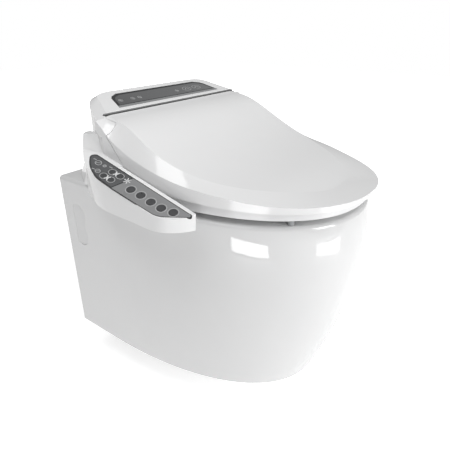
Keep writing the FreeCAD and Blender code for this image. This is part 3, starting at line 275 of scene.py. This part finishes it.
def thicken(shape, faces, height):
    """Raises flat faces into a plate."""
    raised = bmesh.ops.extrude_face_region(shape, geom=faces)["geom"]
    lifted = [item for item in raised if isinstance(item, bmesh.types.BMVert)]
    bmesh.ops.translate(shape, vec=(0, 0, height), verts=lifted)


def flat_plate(shape, corners, low, height):
    """Plate from a few corners."""
    thicken(shape, [shape.faces.new([shape.verts.new((x, y, low)) for x, y in corners])], height)


def ring_mark(shape, x, y, half_wide, half_high, line, low, height=0.00004):
    """Thin oval outline, as printed."""
    circle = bmesh.ops.create_circle(shape, cap_ends=True, segments=36, radius=1.0)["verts"]
    bmesh.ops.scale(shape, vec=(half_wide, half_high, 1), verts=circle)
    bmesh.ops.translate(shape, vec=(x, y, low), verts=circle)
    face = list({f for v in circle for f in v.link_faces})
    rim = bmesh.ops.inset_region(shape, faces=face, thickness=line,
                                 use_boundary=True, use_even_offset=True)["faces"]
    bmesh.ops.delete(shape, geom=face, context="FACES_ONLY")
    thicken(shape, rim, height)


def dot_mark(shape, x, y, half_wide, half_high, low, height=0.00004):
    """Filled oval, as printed."""
    circle = bmesh.ops.create_circle(shape, cap_ends=True, segments=28, radius=1.0)["verts"]
    bmesh.ops.scale(shape, vec=(half_wide, half_high, 1), verts=circle)
    bmesh.ops.translate(shape, vec=(x, y, low), verts=circle)
    thicken(shape, list({f for v in circle for f in v.link_faces}), height)


def bar_mark(shape, x, y, long, wide, turn, low, height=0.00004):
    """Short straight stroke, as printed."""
    bar = bmesh.ops.create_grid(shape, x_segments=1, y_segments=1, size=0.5)["verts"]
    bmesh.ops.scale(shape, vec=(long, wide, 1), verts=bar)
    bmesh.ops.rotate(shape, cent=(0, 0, 0), matrix=Matrix.Rotation(turn, 3, "Z"), verts=bar)
    bmesh.ops.translate(shape, vec=(x, y, low), verts=bar)
    thicken(shape, list({f for v in bar for f in v.link_faces}), height)


roof_slope = radians(17.9)
film_rise = 0.00143
panel_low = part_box("top_panel")[0]
roof_place = plane_matrix((0, panel_low.y, panel_low.z + film_rise / cos(roof_slope)),
                          (1, 0, 0), (0, -sin(roof_slope), cos(roof_slope)))
touch_face = bmesh.new()
half_face = [(0.1268, 0.0014), (0.1192, 0.0222), (0.1128, 0.0290), (0.100, 0.0345)]
flat_plate(touch_face, half_face + [(-x, y) for x, y in reversed(half_face)], 0.0, 0.00006)
settle(touch_face, "panel_face", panel_face, "toilet", roof_place)

touch_marks = bmesh.new()
mark_level = 0.00006
mark_line = 0.0009
oval_row = 0.0165
for x in (0.060, 0.0895):
    ring_mark(touch_marks, x, oval_row, 0.0115, 0.0075, mark_line, mark_level)
    for shift, turn in ((-0.003, 0.7), (0.003, -0.7)):
        bar_mark(touch_marks, x + shift, oval_row, 0.0075, 0.0011, turn, mark_level)
round_row = 0.0150
round_size = 0.0042
for x in (-0.113, -0.0855, -0.0690, 0.030):
    ring_mark(touch_marks, x, round_row, round_size, round_size, mark_line, mark_level)
    for turn in (0, pi / 2):
        bar_mark(touch_marks, x, round_row, 0.0052, mark_line, turn, mark_level)
settle(touch_marks, "panel_marks", pale_ink, "toilet", roof_place)

# ---------------------------------------------------------------------------------------------
# Arm keypad: a dull charcoal fascia with a glossy touch field and a grey key field let into it,
# and five round charcoal keys that each stand in a pale ring. Printed marks show the touch areas.
# ---------------------------------------------------------------------------------------------
field = Recipe("key_field_grey")
field_haze = field.noise(30.0, 2.0)
field_fine = field.noise(900.0, 1.0)
dress(field.surface(field.blend(field_haze, (0.235, 0.237, 0.24), (0.275, 0.278, 0.282)),
                    0.24 + field_haze * 0.1, field_fine, 0.00002), "key_plate")
cap = Recipe("key_charcoal")
cap_haze = cap.noise(120.0, 2.0)
dress(cap.surface(cap.blend(cap_haze, (0.04, 0.041, 0.043), (0.06, 0.061, 0.064)),
                  0.24 + cap_haze * 0.12, cap_haze, 0.00003), *["key_%d" % n for n in range(1, 6)])
touch_film = Recipe("touch_charcoal")
touch_haze = touch_film.noise(30.0, 2.0)
touch_grey = touch_film.surface(touch_film.blend(touch_haze, (0.085, 0.087, 0.09), (0.11, 0.112, 0.116)),
                                0.2 + touch_haze * 0.1, touch_haze, 0.00002, Coat_Weight=0.4)
white_print = Recipe("printed_white")
white_ink = white_print.noise(300.0, 2.0)
bright_ink = white_print.surface(white_print.blend(white_ink, (0.66, 0.665, 0.67), (0.74, 0.745, 0.75)),
                                 0.3 + white_ink * 0.15, white_ink, 0.00001)

arm_fall = 0.269
arm_lean = 0.33
arm_place = plane_matrix((-0.200, -0.211, 0.139), (0, -1, -arm_fall), (-arm_lean, -arm_fall, 1))
touch_field = bmesh.new()
flat_plate(touch_field, [(0.0190, -0.0030), (0.0095, -0.0362), (-0.0120, -0.0358), (-0.0260, -0.0344),
                         (-0.0350, -0.0318), (-0.0450, -0.0280), (-0.0555, -0.0218), (-0.0650, -0.0138),
                         (-0.0686, -0.0088), (-0.0668, -0.0050), (-0.0612, -0.0030)], 0.00002, 0.00008)
settle(touch_field, "touch_field", touch_grey, "toilet", arm_place)
black_print = bmesh.new()
white_marks = bmesh.new()
faint_marks = bmesh.new()
fascia_level = 0.00002
field_level = fascia_level + 0.0001
over_level = fascia_level + 0.0002
for ahead, out in ((-0.0139, 0.0131), (0.0020, 0.0120), (-0.0179, 0.0272), (-0.0031, 0.0261)):
    dot_mark(black_print, ahead, -out, 0.0064, 0.0052, field_level, 0.00008)
    ring_mark(faint_marks, ahead, -out, 0.0074, 0.0061, mark_line, field_level, 0.00007)
for ahead, out in ((-0.0063, 0.0123), (-0.0102, 0.0266)):
    for turn in (0.9, -0.9):
        bar_mark(white_marks, ahead, -out, 0.0105, 0.0024, turn, over_level)
    dot_mark(white_marks, ahead, -out, 0.0026, 0.0023, over_level + 0.00002)
for turn in (0, pi / 3, 2 * pi / 3):
    bar_mark(white_marks, 0.018, -0.0118, 0.0125, 0.0016, turn, field_level)
for ahead, out, size in ((-0.0476, 0.0128, 0.0062), (-0.0345, 0.0115, 0.0034), (-0.0336, 0.0258, 0.0050)):
    ring_mark(faint_marks, ahead, -out, size, size * 0.8, 0.0010, field_level)
    bar_mark(faint_marks, ahead, -out, size * 1.3, 0.0010, 0.6, field_level)
for ahead, out in ((-0.0585, 0.0105), (-0.0430, 0.0270), (-0.0240, 0.0075)):
    bar_mark(faint_marks, ahead, -out, 0.0060, 0.0012, 0.2, field_level)
settle(black_print, "touch_ovals", cap.material, "toilet", arm_place)
settle(white_marks, "touch_arrows", bright_ink, "toilet", arm_place)
settle(faint_marks, "touch_outlines", pale_ink, "toilet", arm_place)

rings = bmesh.new()
ring_size = 0.0086
for ahead, out in ((0.036, 0.021), (0.056, 0.020), (0.077, 0.020), (0.097, 0.019), (0.116, 0.014)):
    ring_mark(rings, ahead, -out, ring_size, ring_size, 0.0011, fascia_level, 0.0001)
settle(rings, "key_rings", pale_ink, "toilet", arm_place)

# ---------------------------------------------------------------------------------------------
# Studio: a pale floor below the wall-hung pan, a white surround, one large soft light from the
# front right, one from above, and two narrow boxes that put the window-like glints on the pan.
# ---------------------------------------------------------------------------------------------
ground = bmesh.new()
bmesh.ops.create_grid(ground, x_segments=1, y_segments=1, size=6.0)
bmesh.ops.translate(ground, vec=(0, 0, -0.33), verts=ground.verts)
ground_mesh = bpy.data.meshes.new("floor")
ground.to_mesh(ground_mesh)
ground.free()
floor = bpy.data.objects.new("floor", ground_mesh)
bpy.context.scene.collection.objects.link(floor)

floor_paint = Recipe("floor_paint")
speck = floor_paint.noise(3.0, 2.0)
seen = floor_paint.add("ShaderNodeLightPath", out="Is Camera Ray")
mirrored = floor_paint.add("ShaderNodeLightPath", out="Is Glossy Ray")
refracted = floor_paint.add("ShaderNodeLightPath", out="Is Transmission Ray")
matte = floor_paint.add("ShaderNodeBsdfDiffuse", None,
                        {"Color": floor_paint.blend(speck, (0.86, 0.86, 0.86), (0.9, 0.9, 0.9))})
away = floor_paint.add("ShaderNodeVectorMath", {"operation": "LENGTH"}, {0: floor_paint.place}, out="Value")
glow = floor_paint.add("ShaderNodeEmission", None,
                       {"Strength": seen * (0.42 + away * 0.4) + (mirrored + refracted) * 0.6})
floor_paint.add_end(floor_paint.add("ShaderNodeAddShader", None, {0: matte, 1: glow}))
ground_mesh.materials.append(floor_paint.material)

unseen_glow = 0.33
world = bpy.data.worlds.new("surround")
bpy.context.scene.world = world
world.use_nodes = True
sky = world.node_tree
sky.nodes.clear()
path = sky.nodes.new("ShaderNodeLightPath")
either = sky.nodes.new("ShaderNodeMath")
either.operation = "MAXIMUM"
sky.links.new(path.outputs["Is Camera Ray"], either.inputs[0])
sky.links.new(path.outputs["Is Transmission Ray"], either.inputs[1])
level = sky.nodes.new("ShaderNodeMapRange")
level.inputs["To Min"].default_value = unseen_glow
level.inputs["To Max"].default_value = 1.0
sky.links.new(either.outputs[0], level.inputs["Value"])
surround = sky.nodes.new("ShaderNodeBackground")
surround.inputs["Color"].default_value = (1, 1, 1, 1)
sky.links.new(level.outputs["Result"], surround.inputs["Strength"])
sky_end = sky.nodes.new("ShaderNodeOutputWorld")
sky.links.new(surround.outputs[0], sky_end.inputs["Surface"])

for name, place, target, wide, high, power in (
    ("key", (0.1, -3.0, 1.1), (0, -0.28, 0), 1.3, 1.6, 38.0),
    ("overhead", (-0.75, 0.0, 2.2), (0, -0.28, 0), 1.5, 1.3, 20.5),
    ("left_window", (-0.889, -0.639, -0.255), (-0.157, -0.424, 0.063), 0.42, 0.12, 0.8),
    ("right_window", (0.035, -1.44, -0.262), (-0.087, -0.506, 0.057), 0.66, 0.2, 1.1),
):
    softbox = bpy.data.lights.new(name, "AREA")
    softbox.shape = "RECTANGLE"
    softbox.size = wide
    softbox.size_y = high
    softbox.energy = power
    lamp = bpy.data.objects.new(name, softbox)
    lamp.location = place
    lamp.rotation_euler = (Vector(target) - Vector(place)).to_track_quat("-Z", "Y").to_euler()
    bpy.context.scene.collection.objects.link(lamp)

# ---------------------------------------------------------------------------------------------
# Camera: where the photograph was taken from, looking down on the left front corner.
# ---------------------------------------------------------------------------------------------
looking_down = 25.80
bearing = -53.27
view = bpy.data.cameras.new("camera")
view.lens = 33.66
view.sensor_width = 36.0
camera = bpy.data.objects.new("camera", view)
camera.location = (-0.6047, -0.7051, 0.3475)
camera.rotation_euler = (radians(90 - looking_down), 0, radians(bearing))
bpy.context.scene.collection.objects.link(camera)
bpy.context.scene.camera = camera
bpy.context.scene.view_settings.view_transform = "Standard"
